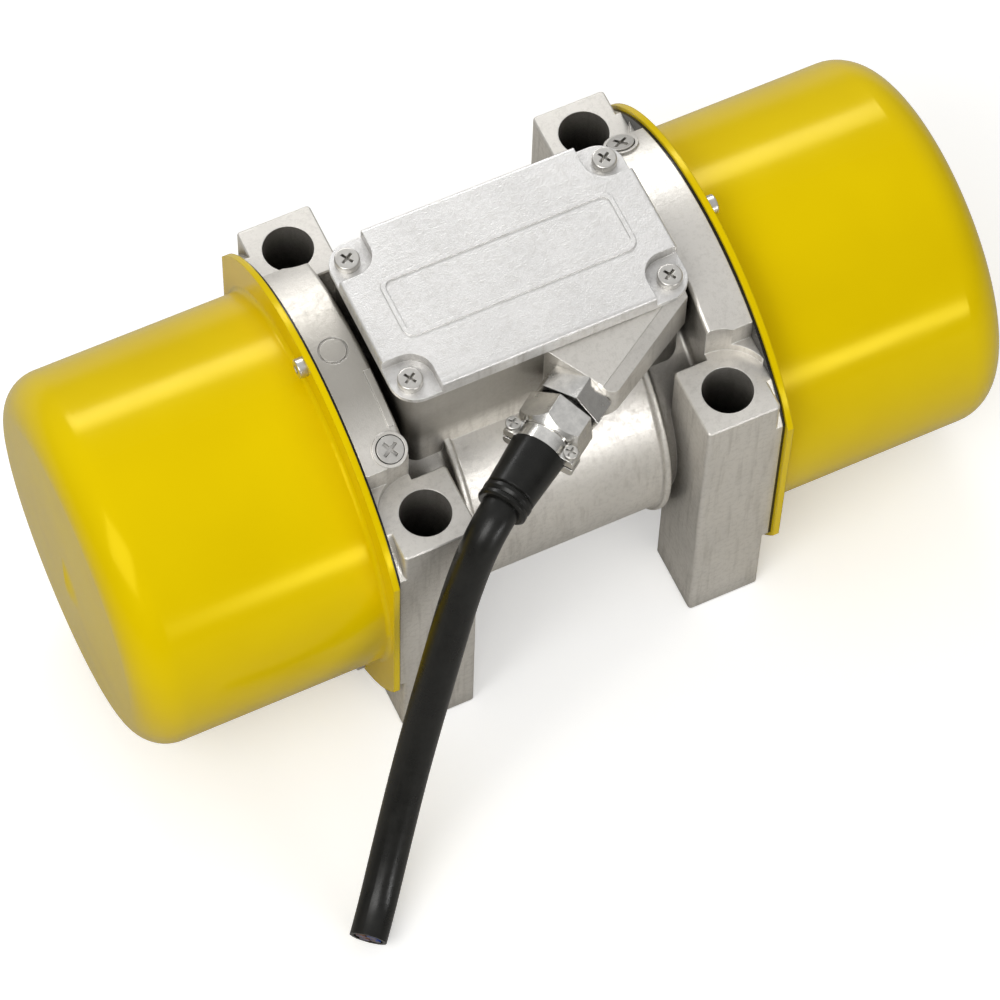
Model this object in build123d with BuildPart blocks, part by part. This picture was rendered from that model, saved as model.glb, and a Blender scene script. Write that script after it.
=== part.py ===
"""External electric concrete vibrator: a foot-mounted motor with an eccentric weight set at each end.

The frame: +X runs along the motor axis, -Y is the side of the cable gland, +Z is up. The origin is the
centre of the four foot bolts, on the plane of the foot undersides. All sizes are in millimetres.
"""

import os
from math import atan2, cos, pi, radians, sin

from build123d import *

os.makedirs("parts", exist_ok=True)

# ---------------------------------------------------------------- driving dimensions
axis_height = 74.0
total_length = 326.0
bolt_spacing = 110.0
bolt_hole_radius = 8.75
running_gap = 0.05
fitted_gap = 0.02

# Cast housing
tube_radius = 54.0
bore_radius = 44.0
rim_radius = 55.8
rim_start = 34.5
rim_end = 37.0
rim_root_radius = 0.8
rim_crest_radius = 0.8
groove_radius = 50.0
groove_corner_radius = 2.0
band_start = 54.0
band_end = 70.0
band_radius = 78.0
band_half_width = 68.0
band_bottom = 4.0
band_corner_radius = 1.5
post_width = 26.8
post_depth = 26.5
post_height = 127.0
post_corner_radius = 1.4
post_edge = 0.5
pocket_wall = 41.5
pocket_floor = 130.5
spot_face_radius = 15.5
register_radius = 58.0
register_start = 66.0
box_half_length = 51.0
box_half_width = 30.0
box_foot = 112.0
box_top = 155.0
box_corner_radius = 6.0
box_floor = 131.0
box_wall = 5.0
lead_station = 37.5
lead_hole_radius = 5.0
lead_hole_depth = 20.0
above_housing = 40.0

# Gland boss, gland and cable
gland_height = 140.0
gland_turn = 35.0
gland_face_width = 26.2
boss_bottom = 127.0
boss_end = 51.0
boss_fall = 5.0
boss_bevel = 4.0
boss_undercut = 8.0
boss_tip_radius = 4.0
gland_thread_radius = 8.0
gland_across_flats = 22.0
gland_hole_depth = 36.0
gland_thread_length = 18.0
gland_hex_end = 9.0
gland_ring_end = 10.5
gland_nut_end = 21.5
gland_nut_bevel = 3.0
gland_body_turn = 12.0
gland_nut_turn = 35.0
gland_seal_length = 2.3
gland_clamp_end = 27.0
clamp_width = 26.0
clamp_height = 9.0
clamp_thickness = 2.6
clamp_slit = 1.0
clamp_corner_radius = 2.0
clamp_screw_reach = 10.8
clamp_screw_radius = 1.5
clamp_screw_head_radius = 2.6
clamp_screw_head_height = 1.9
clamp_slot_depth = 1.0
boot_end = 51.0
boot_radius = 9.6
boot_tip_radius = 8.6
boot_groove_depth = 0.7
cable_start = -30.0
cable_inner_radius = 5.2
core_ring = 2.8
core_radius = 1.9
core_count = 4
cable_radius = 6.5

cable_points = (
    (-49.5, -78, 123.5),
    (-65, -89, 88),
    (-82.6, -103.5, 48),
    (-103, -125, 15.5),
    (-114, -138, 8.5),
)
cable_end_direction = (-0.62, -0.74, -0.2)

# Terminal box lid
lid_bottom = 156.0
lid_top = 163.0
lid_length = 106.4
lid_width = 64.0
lid_corner_radius = 9.0
lid_screw_x = 46.7
lid_screw_y = 24.7
pad_radius = 8.2
pad_depth = 4.5

corner_block = 6.0
lid_screw_radius = 2.5
lid_screw_length = 18.0
lid_screw_head_radius = 4.25
lid_screw_head_height = 3.0
lid_screw_head_edge = 0.6
lid_screw_slot_length = 4.7
lid_screw_slot_width = 1.0
lid_edge_radius = 1.2
lid_lower_edge = 0.6
lid_hollow_depth = 2.5
lid_hollow_wall = 1.5
pad_reach = 15.0
panel_length = 84.0
panel_width = 24.0
panel_corner = 4.0
panel_border = 1.6
panel_height = 0.5

# Contents of the terminal box
block_length = 58.0
block_width = 26.0
block_height = 8.0
block_corner_radius = 2.0
barrier_width = 1.6
barrier_height = 4.0
stud_root = 6.0
stud_spacing_x = 18.0
stud_spacing_y = 14.0
stud_radius = 2.0
stud_top = 149.0
link_thickness = 1.0
link_width = 7.0
nut_height = 3.2
terminal_across_flats = 7.0
lug_radius = 3.4
lug_thickness = 0.9
block_screw_x = 25.5
block_screw_radius = 2.0
block_screw_depth = 8.0
block_screw_hole = 2.1
block_screw_head_radius = 3.2
block_screw_head_height = 1.2
block_screw_sink = 3.6
block_screw_slot_width = 0.8
block_screw_slot_depth = 0.7
wire_radius = 1.2
wire_bend_radius = 2.0
riser_step = 3.7
wire_reach = 6.2
lowest_run = 149.5
run_step = 2.6
lead_spread = 2.4
earth_screw_place = (36.0, 14.5)
earth_screw_radius = 2.0
earth_screw_depth = 8.0
earth_head_radius = 3.6
earth_head_height = 2.6
earth_slot_width = 0.9
earth_slot_depth = 1.4

# Hoods
hood_radius = 67.0
hood_wall = 2.5
hood_shoulder = 14.5
hood_crown = 2.2
hood_root_radius = 1.6
flange_start = 71.0
flange_thickness = 2.2
flange_radius = 79.5
flange_half_width = 70.0
flange_bottom = 3.0
hood_screw_ring = 75.0
hood_screw_angles = (90, 235, 305)
hood_screw_radius = 2.0
hood_screw_hole_depth = 7.0
hood_screw_head_radius = 3.4
hood_screw_head_height = 3.0
hood_screw_socket = 1.5
clearance_gap = 0.3
gasket_inner_radius = 62.0

# Bearing shields and covers, and the screws that hold them
shield_screw_ring = 51.0
shield_screw_angles = (60, 120, 240, 300)
shield_screw_radius = 3.0
shield_screw_hole_depth = 15.0
shield_screw_length = 14.0
shield_screw_head_radius = 5.0
shield_screw_head_height = 6.0
shield_screw_socket = 2.5
shield_start = 46.0
labyrinth_radius = 16.4
grease_radius = 25.0
cover_end = 73.0
cover_radius = 41.0
cover_screw_ring = 36.0
cover_screw_angles = (45, 135, 225, 315)
cover_screw_radius = 2.5
cover_screw_depth = 4.0
cover_screw_length = 9.0
cover_screw_head_radius = 4.2
cover_screw_head_height = 3.0
cover_screw_socket = 1.5
screw_head_edge = 0.5
shield_wall = 2.0

# Radial plugs and casting marks on the end bands
band_plug_places = ((-59.5, 118), (59.5, 62))
plug_boss_radius = 6.0
plug_boss_height = 0.8
plug_head_radius = 4.6
plug_head_height = 2.6
plug_recess = 2.0
plug_thread_radius = 3.0
plug_hole_depth = 10.0
plug_slot_length = 6.0
plug_slot_width = 1.2
plug_slot_depth = 1.4
plug_boss_root = 4.0
cast_mark_station = -63.0
cast_mark_radius = 5.0
cast_mark_depth = 0.5
cast_mark_width = 0.6
lip_angle = 98
lip_arc = 15
lip_width = 3.2
lip_height = 0.7
lip_inset = 0.8

# Electrical parts of the motor
stator_half_length = 30.0
stator_inner_radius = 28.0
slot_count = 24
slot_width = 4.2
slot_bottom_radius = 30.0
slot_top_radius = 39.0
air_gap = 0.6
winding_inner_radius = 30.0
winding_outer_radius = 42.0
winding_start = 31.0
winding_end = 43.0
winding_edge_radius = 4.0
slot_liner = 0.2
slot_opening = 2.0
cage_ring_length = 6.0
cage_ring_outer = 27.0
cage_ring_inner = 18.0
rotor_bar_count = 18
rotor_bar_radius = 2.4
rotor_bar_ring = 24.0

# Shaft, bearings and weights
shaft_core_radius = 16.0
shaft_radius = 12.5
thread_radius = 10.0
shaft_end = 148.0
shaft_point = 1.5
bearing_start = 50.0
bearing_end = 67.0
bearing_radius = 31.0
roller_radius = 5.0
roller_ring = 22.0
roller_count = 11
roller_start = 52.5
roller_end = 64.5
roller_end_gap = 0.1
shoulder_height_inside = 3.3
fixed_weight_start = 80.0
fixed_weight_end = 106.0
moving_weight_start = 108.0
moving_weight_end = 134.0
nut_start = 137.0
nut_end = 146.0
shaft_nut_half_flats = 15.0
nut_bevel_length = 2.0
nut_bevel_start = 17.5
nut_bevel_end = 14.5
nut_bevel_reach = 20.0
washer_radius = 19.0
weight_radius = 58.0
weight_hub_radius = 20.0
weight_edge = 1.0
key_width = 8.0
key_start = 84.0
key_end = 107.5
key_depth = 4.0
key_height = 7.0
keyway_height = 3.3
weight_reach = 80.0
weight_drop = 21.4
disc_radius = 34.0
disc_notch_count = 36
disc_notch_length = 3.0
disc_notch_width = 0.8
ear_width = 28.0
ear_top = 30.0
ear_slit = 2.0
ear_screw_height = 23.0
ear_screw_radius = 4.0
ear_head_radius = 6.3
ear_head_height = 7.0
ear_head_edge = 0.8
ear_socket = 3.0
ear_socket_depth = 4.0
ear_nut_half_flats = 6.5
ear_nut_height = 6.4
ear_screw_end = 8.0
cage_half_thickness = 1.6
cage_end_gap = 1.0

# ---------------------------------------------------------------- planes and shared helpers
motor_axis = Axis((0, 0, axis_height), (1, 0, 0))
axial_plane = Plane(origin=(0, 0, axis_height), x_dir=(1, 0, 0), z_dir=(0, -1, 0))
gland_direction = (-cos(radians(gland_turn)), -sin(radians(gland_turn)))
gland_face_along = (sin(radians(gland_turn)), -cos(radians(gland_turn)))
boss_start = (-1.0, -box_half_width)
boss_tip = tuple(a + gland_face_width * b for a, b in zip(boss_start, gland_face_along))
gland_face = tuple((a + b) / 2 for a, b in zip(boss_start, boss_tip))


def across(station):
    """A plane across the motor axis: its local axes are +Y and +Z, and it faces +X."""
    return Plane(origin=(station, 0, axis_height), x_dir=(0, 1, 0), z_dir=(1, 0, 0))


def around(angle):
    """The plane through the motor axis at an angle from +Y towards +Z: local axes are +X and outwards."""
    turn = radians(angle)
    return Plane(origin=(0, 0, axis_height), x_dir=(1, 0, 0), z_dir=(0, -sin(turn), cos(turn)))


def outward(station, radius, angle):
    """A plane that faces away from the motor axis, at a station, radius and angle."""
    turn = radians(angle)
    origin = (station, radius * cos(turn), axis_height + radius * sin(turn))
    return Plane(origin=origin, x_dir=(1, 0, 0), z_dir=(0, cos(turn), sin(turn)))


def along_gland(distance):
    """A plane across the gland's axis, at a distance out from the face of the gland boss."""
    origin = tuple(a + distance * b for a, b in zip(gland_face, gland_direction))
    return Plane(
        origin=(*origin, gland_height), x_dir=(*gland_face_along, 0), z_dir=(*gland_direction, 0)
    )


def outline(plane, points):
    """A face with straight sides through the given corners of a plane."""
    with BuildSketch(plane) as face:
        with BuildLine():
            Polyline(*points, close=True)
        make_face()
    return face.sketch


def write(piece, name):
    """Labels a finished piece and writes it as its own file."""
    piece.part.label = name
    export_step(piece.part, f"parts/{name}.step")


def write_pair(piece, name):
    """Writes a right-hand piece, and its mirror image for the left-hand end."""
    write(piece, f"{name}_right")
    with BuildPart() as twin:
        mirror(piece.part, about=Plane.YZ)
    write(twin, f"{name}_left")


def write_both_ends(piece, name):
    """Writes a right-hand group of identical fasteners and its mirror image as one group."""
    with BuildPart() as group:
        add(piece.part)
        mirror(piece.part, about=Plane.YZ)
    write(group, name)


# ---------------------------------------------------------------- cast housing
half_profile = [
    (0, 0),
    (0, tube_radius),
    (rim_start, tube_radius),
    (rim_start, rim_radius),
    (rim_end, rim_radius),
    (rim_end, groove_radius),
    (band_start, groove_radius),
    (band_start, band_radius),
    (band_end, band_radius),
    (band_end, 0),
]

with BuildPart() as foot_post:
    with BuildSketch(Plane.XY):
        RectangleRounded(post_width, post_depth, post_corner_radius)
    extrude(amount=post_height)
    chamfer(foot_post.edges().group_by(Axis.Z)[-1], length=post_edge)
    chamfer(foot_post.edges().group_by(Axis.Z)[0], length=post_edge)

# The gland boss is a corbel on the front of the terminal box. Its gland face is turned towards -X, its top
# falls towards the tip, and its long side is bevelled above and undercut below.
boss_end_corner = (boss_end, -box_half_width)
boss_side = tuple(a - b for a, b in zip(boss_tip, boss_end_corner))
boss_side_length = (boss_side[0] ** 2 + boss_side[1] ** 2) ** 0.5
boss_side_normal = (-boss_side[1] / boss_side_length, boss_side[0] / boss_side_length, 0)
with BuildPart() as gland_boss:
    with BuildSketch(Plane.XY.offset(boss_bottom)):
        with BuildLine():
            Polyline(
                boss_start,
                boss_tip,
                boss_end_corner,
                (boss_end, -box_half_width + box_wall),
                (boss_start[0], -box_half_width + box_wall),
                close=True,
            )
        make_face()
    extrude(amount=box_top - boss_bottom)
    fillet(gland_boss.edges().filter_by(Axis.Z).sort_by(Axis.Y)[0], radius=boss_tip_radius)
    undercut_plane = Plane(
        origin=(*boss_end_corner, boss_bottom), x_dir=boss_side_normal, z_dir=(*boss_side, 0)
    )
    extrude(
        outline(undercut_plane, [(-boss_undercut - 1, -1), (1, -1), (1, boss_undercut + 1)]),
        amount=2 * boss_side_length,
        both=True,
        mode=Mode.SUBTRACT,
    )
    bevel_plane = Plane(
        origin=(*boss_end_corner, box_top), x_dir=boss_side_normal, z_dir=(*boss_side, -boss_fall)
    )
    extrude(
        outline(bevel_plane, [(-boss_bevel, 0), (2, -boss_bevel), (2, 20), (-boss_bevel, 20)]),
        amount=2 * boss_side_length,
        both=True,
        mode=Mode.SUBTRACT,
    )
    fall_per_mm = boss_fall / -boss_side[1]
    far_y = -2 * box_half_width
    far_top = box_top - fall_per_mm * (-far_y - box_half_width)
    extrude(
        outline(Plane.YZ, [(-box_half_width, box_top), (far_y, far_top), (far_y, box_top)]),
        amount=2 * boss_end,
        both=True,
        mode=Mode.SUBTRACT,
    )

with BuildPart() as housing:
    with BuildSketch(axial_plane) as profile:
        with BuildLine():
            Polyline(*half_profile, close=True)
        make_face()
        mirror(about=Plane.YZ)
        rim_corners = [v for v in profile.vertices() if abs(v.Y - tube_radius) < 0.01 and abs(v.X) > 1]
        fillet(rim_corners, radius=rim_root_radius)
        top_corners = [v for v in profile.vertices() if abs(v.Y - band_radius) < 0.01]
        fillet([v for v in top_corners if abs(abs(v.X) - band_start) < 0.01], radius=band_corner_radius)
        fillet([v for v in profile.vertices() if abs(v.Y - rim_radius) < 0.01], radius=rim_crest_radius)
        groove_corners = [v for v in profile.vertices() if abs(v.Y - groove_radius) < 0.01]
        fillet(groove_corners, radius=groove_corner_radius)
    revolve(axis=motor_axis)
    with BuildSketch(Plane.XY.offset(band_bottom)):
        Rectangle(2 * band_end, 2 * band_half_width)
    extrude(amount=2 * band_radius, mode=Mode.INTERSECT)
    with GridLocations(bolt_spacing, 2 * pocket_wall + post_depth, 2, 2):
        add(foot_post.part)
    # terminal box
    with BuildSketch(Plane.XY.offset(box_foot)):
        RectangleRounded(2 * box_half_length, 2 * box_half_width, box_corner_radius)
    extrude(amount=box_top - box_foot)
    add(gland_boss.part)
    # pockets that clear the heads of the foot bolts, and their spot faces
    with BuildSketch(Plane.XY.offset(pocket_floor)):
        with GridLocations(band_start + band_end, 2 * (pocket_wall + post_depth), 2, 2):
            Rectangle(band_end - band_start + 2, 2 * post_depth)
    extrude(amount=above_housing, mode=Mode.SUBTRACT)
    with BuildSketch(Plane.XY.offset(post_height)):
        with GridLocations(bolt_spacing, bolt_spacing, 2, 2):
            Circle(spot_face_radius)
    extrude(amount=above_housing, mode=Mode.SUBTRACT)
    with BuildSketch(Plane.XY):
        with GridLocations(bolt_spacing, bolt_spacing, 2, 2):
            Circle(bolt_hole_radius)
    extrude(amount=post_height, mode=Mode.SUBTRACT)
    # motor bore, with a register for a bearing shield at each end
    with BuildSketch(across(-band_end)):
        Circle(bore_radius)
    extrude(amount=2 * band_end, mode=Mode.SUBTRACT)
    with BuildSketch(across(register_start), across(-band_end)):
        Circle(register_radius)
    extrude(amount=band_end - register_start, mode=Mode.SUBTRACT)
    # terminal box: cavity with solid corners for the lid screws, lead passage and gland hole
    with BuildSketch(Plane.XY.offset(box_floor)):
        Rectangle(2 * (box_half_length - box_wall), 2 * (lid_screw_y - corner_block))
        Rectangle(2 * (lid_screw_x - corner_block), 2 * (box_half_width - box_wall))
    extrude(amount=box_top - box_floor, mode=Mode.SUBTRACT)
    with BuildSketch(Plane.XY.offset(box_top)):
        with GridLocations(2 * lid_screw_x, 2 * lid_screw_y, 2, 2):
            Circle(lid_screw_radius + running_gap)
    extrude(amount=-lid_screw_length, mode=Mode.SUBTRACT)
    with BuildSketch(Plane.XY.offset(box_floor)):
        with Locations((lead_station, 0)):
            Circle(lead_hole_radius)
    extrude(amount=-lead_hole_depth, mode=Mode.SUBTRACT)
    with BuildSketch(along_gland(0)):
        Circle(gland_thread_radius + running_gap)
    extrude(amount=-gland_hole_depth, mode=Mode.SUBTRACT)
    with BuildSketch(Plane.XY.offset(box_floor)):
        with Locations(earth_screw_place):
            Circle(earth_screw_radius + running_gap)
    extrude(amount=-earth_screw_depth, mode=Mode.SUBTRACT)
    with BuildSketch(Plane.XY.offset(box_floor)):
        with Locations((-block_screw_x, 0), (block_screw_x, 0)):
            Circle(block_screw_radius + running_gap)
    extrude(amount=-block_screw_depth, mode=Mode.SUBTRACT)
    # tapped holes in both end faces: hood screws and bearing shield screws
    for station, sense in ((band_end, -1), (-band_end, 1)):
        with BuildSketch(across(station)):
            for angle in hood_screw_angles:
                with PolarLocations(hood_screw_ring, 1, start_angle=angle):
                    Circle(hood_screw_radius + running_gap)
        extrude(amount=sense * hood_screw_hole_depth, mode=Mode.SUBTRACT)
        with BuildSketch(across(station)):
            for angle in shield_screw_angles:
                with PolarLocations(shield_screw_ring, 1, start_angle=angle):
                    Circle(shield_screw_radius + running_gap)
        extrude(amount=sense * shield_screw_hole_depth, mode=Mode.SUBTRACT)
    # bosses and holes of the radial plugs in the end bands
    for station, angle in band_plug_places:
        with BuildSketch(outward(station, band_radius - plug_boss_root, angle)):
            Circle(plug_boss_radius)
        extrude(amount=plug_boss_root + plug_boss_height)
        with BuildSketch(outward(station, band_radius + plug_boss_height, angle)):
            Circle(plug_head_radius + clearance_gap)
        extrude(amount=-plug_recess, mode=Mode.SUBTRACT)
        with BuildSketch(outward(station, band_radius, angle)):
            Circle(plug_thread_radius + running_gap)
        extrude(amount=-plug_hole_depth, mode=Mode.SUBTRACT)
    # round casting mark on top of the left band, and the raised lip on that band's inner edge
    with BuildSketch(Plane.XY.offset(axis_height + band_radius - cast_mark_depth)):
        with Locations((cast_mark_station, 0)):
            Circle(cast_mark_radius)
            Circle(cast_mark_radius - cast_mark_width, mode=Mode.SUBTRACT)
    extrude(amount=2 * cast_mark_depth, mode=Mode.SUBTRACT)
    revolve(
        outline(
            around(lip_angle),
            [
                (-band_start - lip_width, band_radius - 1),
                (-band_start - lip_inset, band_radius - 1),
                (-band_start - lip_inset, band_radius + lip_height),
                (-band_start - lip_width, band_radius + lip_height),
            ],
        ),
        axis=motor_axis,
        revolution_arc=lip_arc,
    )
write(housing, "housing")

# ---------------------------------------------------------------- terminal box: lid, gasket and contents
with BuildPart() as terminal_lid:
    with BuildSketch(Plane.XY.offset(lid_bottom)):
        RectangleRounded(lid_length, lid_width, lid_corner_radius)
    extrude(amount=lid_top - lid_bottom)
    fillet(terminal_lid.edges().group_by(Axis.Z)[-1], radius=lid_edge_radius)
    chamfer(terminal_lid.edges().group_by(Axis.Z)[0], length=lid_lower_edge)
    # pads for the screw heads, each with a round wall about its screw and open to the lid's corner
    with BuildSketch(Plane.XY.offset(lid_top)):
        pad_shift = pad_reach - pad_radius
        with GridLocations(2 * (lid_screw_x + pad_shift), 2 * (lid_screw_y + pad_shift), 2, 2):
            RectangleRounded(2 * pad_reach, 2 * pad_reach, pad_radius)
    extrude(amount=-pad_depth, mode=Mode.SUBTRACT)
    # blank raised name panel
    with BuildSketch(Plane.XY.offset(lid_top)):
        RectangleRounded(panel_length, panel_width, panel_corner)
        RectangleRounded(
            panel_length - 2 * panel_border,
            panel_width - 2 * panel_border,
            panel_corner - 1,
            mode=Mode.SUBTRACT,
        )
    extrude(amount=panel_height)
    # hollow underside and screw holes
    with BuildSketch(Plane.XY.offset(lid_bottom)):
        Rectangle(2 * (box_half_length - box_wall), 2 * (lid_screw_y - pad_radius - lid_hollow_wall))
        Rectangle(2 * (lid_screw_x - pad_radius - lid_hollow_wall), 2 * (box_half_width - box_wall))
    extrude(amount=lid_hollow_depth, mode=Mode.SUBTRACT)
    with BuildSketch(Plane.XY.offset(lid_bottom)):
        with GridLocations(2 * lid_screw_x, 2 * lid_screw_y, 2, 2):
            Circle(lid_screw_radius + clearance_gap)
    extrude(amount=lid_top - lid_bottom, mode=Mode.SUBTRACT)
write(terminal_lid, "terminal_lid")

pad_top = lid_top - pad_depth
with BuildPart() as lid_screws:
    with BuildSketch(Plane.XY.offset(pad_top)):
        with GridLocations(2 * lid_screw_x, 2 * lid_screw_y, 2, 2):
            Circle(lid_screw_head_radius)
    extrude(amount=lid_screw_head_height)
    fillet(lid_screws.edges().group_by(Axis.Z)[-1], radius=lid_screw_head_edge)
    with BuildSketch(Plane.XY.offset(pad_top)):
        with GridLocations(2 * lid_screw_x, 2 * lid_screw_y, 2, 2):
            Circle(lid_screw_radius)
    extrude(amount=-lid_screw_length)
    with BuildSketch(Plane.XY.offset(pad_top + lid_screw_head_height)):
        with GridLocations(2 * lid_screw_x, 2 * lid_screw_y, 2, 2):
            Rectangle(lid_screw_slot_length, lid_screw_slot_width, rotation=30)
            Rectangle(lid_screw_slot_length, lid_screw_slot_width, rotation=120)
    extrude(amount=-0.6 * lid_screw_head_height, mode=Mode.SUBTRACT)
write(lid_screws, "lid_screws")

with BuildPart() as lid_gasket:
    with BuildSketch(Plane.XY.offset(box_top)):
        RectangleRounded(2 * box_half_length, 2 * box_half_width, box_corner_radius)
        Rectangle(2 * (box_half_length - box_wall), 2 * (lid_screw_y - corner_block), mode=Mode.SUBTRACT)
        Rectangle(2 * (lid_screw_x - corner_block), 2 * (box_half_width - box_wall), mode=Mode.SUBTRACT)
        with GridLocations(2 * lid_screw_x, 2 * lid_screw_y, 2, 2):
            Circle(lid_screw_radius + clearance_gap, mode=Mode.SUBTRACT)
    extrude(amount=lid_bottom - box_top)
write(lid_gasket, "lid_gasket")

block_top = box_floor + block_height
link_top = block_top + link_thickness
lug_bottom = link_top + nut_height
upper_nut_bottom = lug_bottom + lug_thickness
with BuildPart() as terminal_block:
    with BuildSketch(Plane.XY.offset(box_floor)):
        RectangleRounded(block_length, block_width, block_corner_radius)
    extrude(amount=block_height)
    # barriers between the three pairs of studs
    with BuildSketch(Plane.XY.offset(block_top)):
        with GridLocations(stud_spacing_x, 0, 2, 1):
            Rectangle(barrier_width, block_width - 2)
    extrude(amount=barrier_height)
    with BuildSketch(Plane.XY.offset(block_top)):
        with GridLocations(stud_spacing_x, stud_spacing_y, 3, 2):
            Circle(stud_radius + fitted_gap)
    extrude(amount=-stud_root, mode=Mode.SUBTRACT)
    with Locations((-block_screw_x, 0, block_top), (block_screw_x, 0, block_top)):
        CounterSinkHole(radius=block_screw_hole, counter_sink_radius=block_screw_sink)
write(terminal_block, "terminal_block")

with BuildPart() as block_screws:
    head_top = block_top - clearance_gap
    for side in (-1, 1):
        with BuildSketch(Plane((side * block_screw_x, 0, 0), x_dir=(1, 0, 0), z_dir=(0, -1, 0))):
            with BuildLine():
                Polyline(
                    (0, head_top),
                    (block_screw_head_radius, head_top),
                    (block_screw_radius, head_top - block_screw_head_height),
                    (block_screw_radius, box_floor - block_screw_depth + 0.5),
                    (0, box_floor - block_screw_depth + 0.5),
                    close=True,
                )
            make_face()
        revolve(axis=Axis((side * block_screw_x, 0, 0), (0, 0, 1)))
    with BuildSketch(Plane.XY.offset(head_top)):
        with GridLocations(2 * block_screw_x, 0, 2, 1):
            Rectangle(2 * block_screw_sink, block_screw_slot_width)
    extrude(amount=-block_screw_slot_depth, mode=Mode.SUBTRACT)
write(block_screws, "block_screws")

with BuildPart() as terminal_links:
    with BuildSketch(Plane.XY.offset(block_top)):
        with GridLocations(stud_spacing_x, 0, 3, 1):
            SlotOverall(stud_spacing_y + link_width, link_width, rotation=90)
        with GridLocations(stud_spacing_x, stud_spacing_y, 3, 2):
            Circle(stud_radius + fitted_gap, mode=Mode.SUBTRACT)
    extrude(amount=link_thickness)
write(terminal_links, "terminal_links")

with BuildPart() as terminal_studs:
    with BuildSketch(Plane.XY.offset(block_top - stud_root)):
        with GridLocations(stud_spacing_x, stud_spacing_y, 3, 2):
            Circle(stud_radius)
    extrude(amount=stud_top - block_top + stud_root)
    for level in (link_top, upper_nut_bottom):
        with BuildSketch(Plane.XY.offset(level)):
            with GridLocations(stud_spacing_x, stud_spacing_y, 3, 2):
                RegularPolygon(terminal_across_flats / 2, 6, major_radius=False)
        extrude(amount=nut_height)
write(terminal_studs, "terminal_studs")

with BuildPart() as earth_screw:
    with BuildSketch(Plane.XY.offset(box_floor + lug_thickness)):
        with Locations(earth_screw_place):
            Circle(earth_head_radius)
    extrude(amount=earth_head_height)
    with BuildSketch(Plane.XY.offset(box_floor + lug_thickness)):
        with Locations(earth_screw_place):
            Circle(earth_screw_radius)
    extrude(amount=-lug_thickness - earth_screw_depth + 0.5)
    with BuildSketch(Plane.XY.offset(box_floor + lug_thickness + earth_head_height)):
        with Locations(earth_screw_place):
            Rectangle(1.4 * earth_head_radius, earth_slot_width)
            Rectangle(earth_slot_width, 1.4 * earth_head_radius)
    extrude(amount=-earth_slot_depth, mode=Mode.SUBTRACT)
write(earth_screw, "earth_screw")


def wire(points):
    """An insulated wire with rounded bends along a line through the points."""
    with BuildPart() as strand:
        with BuildLine() as path:
            FilletPolyline(*points, radius=wire_bend_radius)
        with BuildSketch(Plane(origin=path.line @ 0, z_dir=path.line % 0)):
            Circle(wire_radius)
        sweep(path=path.line)
    return strand.part


def lug(stud, tongue_end, bottom, bore):
    """A flat ring lug about a stud, with a tongue that reaches the end of its wire."""
    tongue = (tongue_end[0] - stud[0], tongue_end[1] - stud[1])
    length = (tongue[0] ** 2 + tongue[1] ** 2) ** 0.5
    middle = ((stud[0] + tongue_end[0]) / 2, (stud[1] + tongue_end[1]) / 2)
    with BuildPart() as ring:
        with BuildSketch(Plane.XY.offset(bottom)):
            with Locations(middle):
                if abs(tongue[0]) > abs(tongue[1]):
                    Rectangle(length + 2 * wire_radius, 2 * wire_radius)
                else:
                    Rectangle(2 * wire_radius, length + 2 * wire_radius)
            with Locations(stud):
                Circle(lug_radius)
                Circle(bore, mode=Mode.SUBTRACT)
        extrude(amount=lug_thickness)
    return ring.part


# Supply wires from the end of the cable to the front row of studs, and motor leads to the back row. Each
# wire rises to its own level, runs along the box above the studs, and drops to its own stud.
lug_bore = stud_radius + fitted_gap
drop_row = stud_spacing_y / 2 + wire_reach
lug_top = lug_bottom + lug_thickness
core_offset = core_ring * cos(pi / 4)
wire_start = cable_start - clearance_gap
supply_core_places = ((-core_offset, core_offset), (core_offset, core_offset), (-core_offset, -core_offset))
with BuildPart() as supply_wires:
    for number, core_place in enumerate(supply_core_places):
        stud_x = stud_spacing_x * (1 - number)
        run_level = lowest_run + run_step * number
        core_end = along_gland(wire_start).from_local_coords((*core_place, 0))
        riser = along_gland(cable_start - riser_step * (number + 1)).from_local_coords((*core_place, 0))
        add(
            wire(
                [
                    core_end,
                    riser,
                    (riser.X, riser.Y, run_level),
                    (stud_x, -drop_row, run_level),
                    (stud_x, -drop_row, lug_top),
                ]
            )
        )
        add(lug((stud_x, -stud_spacing_y / 2), (stud_x, -drop_row), lug_bottom, lug_bore))
write(supply_wires, "supply_wires")

with BuildPart() as motor_leads:
    for number, angle in enumerate((90, 210, 330)):
        stud_x = stud_spacing_x * (1 - number)
        run_level = lowest_run + run_step * number
        lead_x = lead_station + lead_spread * cos(radians(angle))
        lead_y = lead_spread * sin(radians(angle))
        add(
            wire(
                [
                    (lead_x, lead_y, axis_height + winding_outer_radius + 0.3),
                    (lead_x, lead_y, run_level),
                    (stud_x, drop_row, run_level),
                    (stud_x, drop_row, lug_top),
                ]
            )
        )
        add(lug((stud_x, stud_spacing_y / 2), (stud_x, drop_row), lug_bottom, lug_bore))
write(motor_leads, "motor_leads")

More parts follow.
